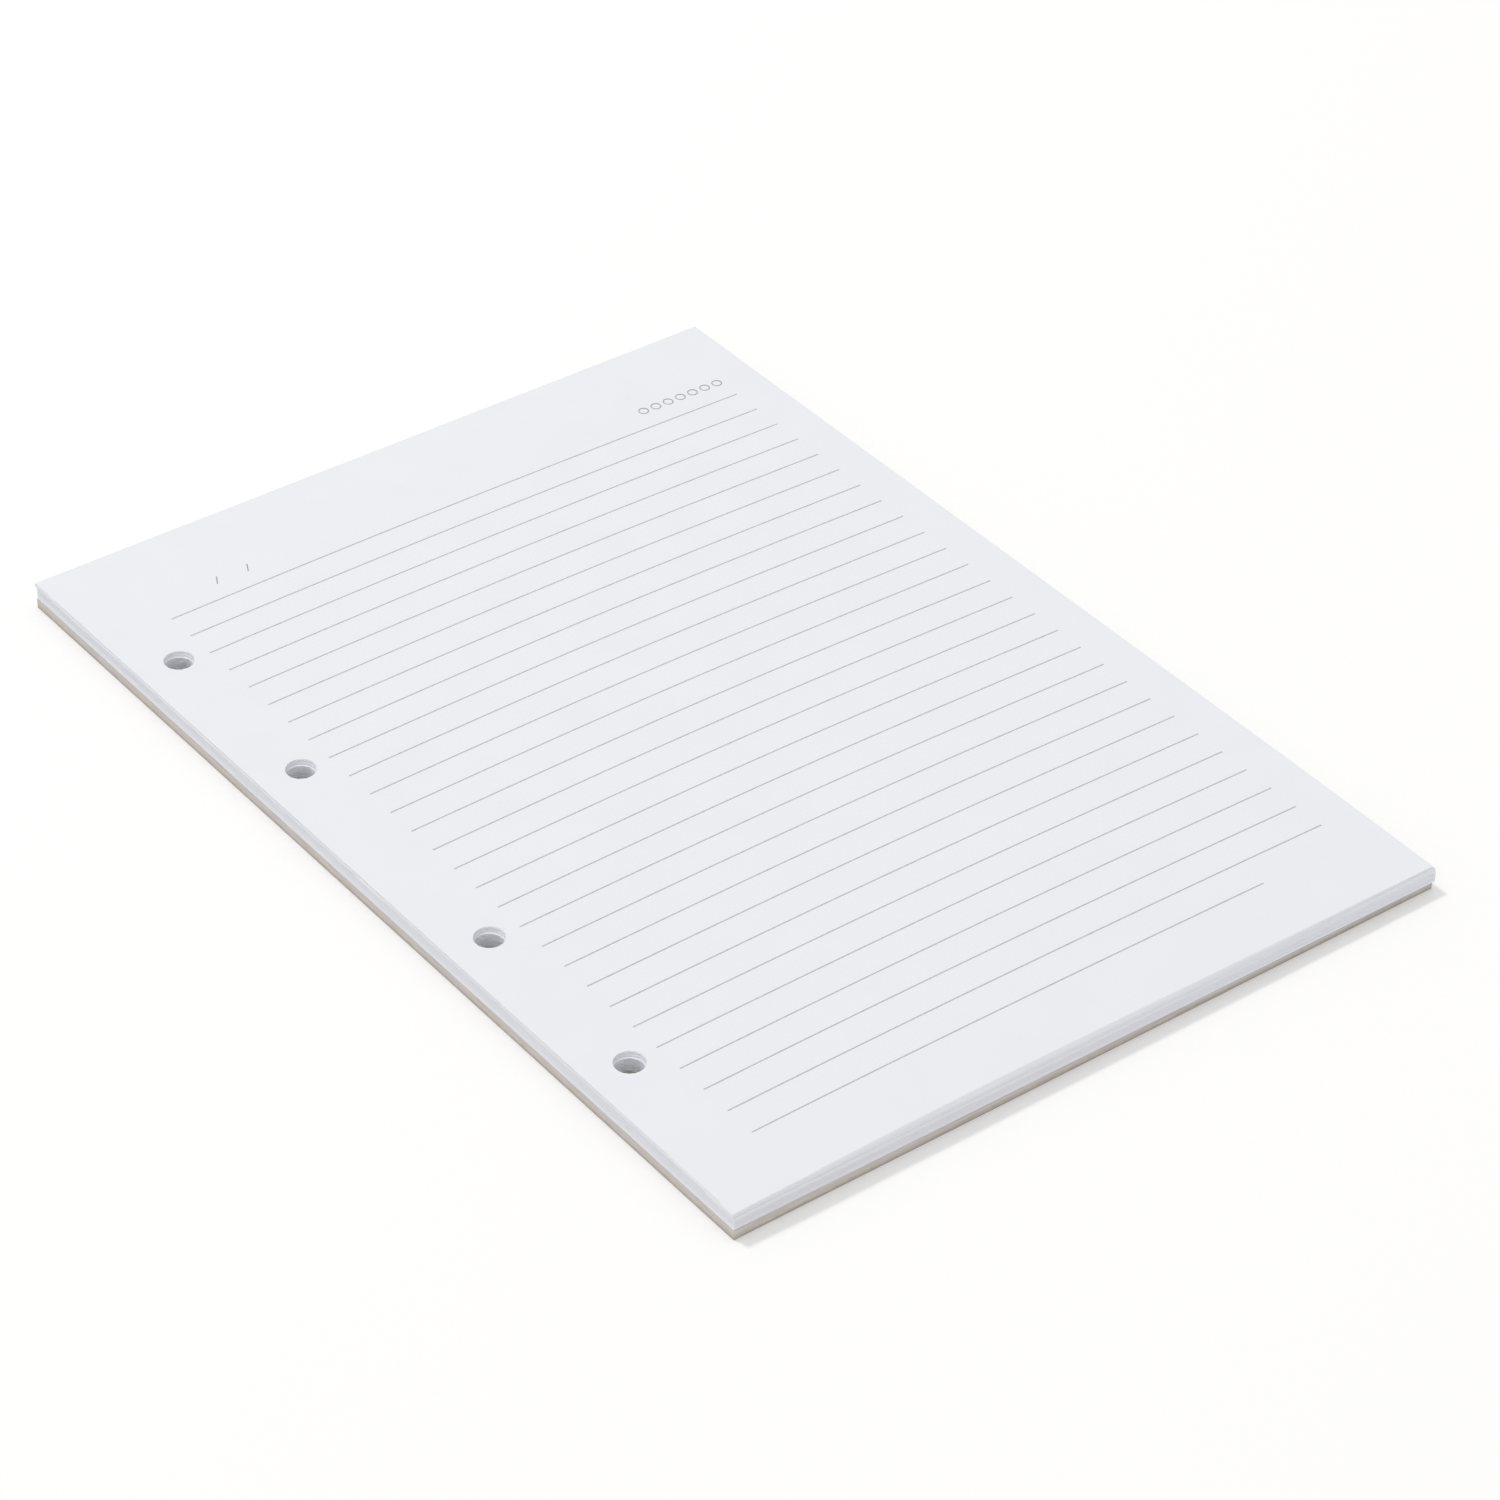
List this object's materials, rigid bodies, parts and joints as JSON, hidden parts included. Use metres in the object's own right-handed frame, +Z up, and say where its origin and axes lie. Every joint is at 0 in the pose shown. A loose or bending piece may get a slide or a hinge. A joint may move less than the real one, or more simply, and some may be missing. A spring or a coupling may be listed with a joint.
{
  "type": "ring binder refill paper",
  "caption": "Loose stack of ruled white leaves punched along one edge for a four-ring binder, lying on a punched greyboard backing sheet.",
  "frame": {"origin": "middle of the footprint, on the table under the backing board", "axes": "+X across the page away from the punched margin, +Y up the page to its head, +Z up out of the written face"},
  "size_m": [0.1704, 0.24, 0.0077],
  "materials": {
    "board": "matt grey pulp board",
    "paper": "smooth uncoated white",
    "rule_ink": "thin pale grey print",
    "heading_ink": "thin grey print"
  },
  "bodies": {
    "root": {"backing_board": "board", "page_block": "paper", "rule_lines": "rule_ink", "day_rings": "heading_ink", "date_strokes": "heading_ink"}
  },
  "joints": []
}
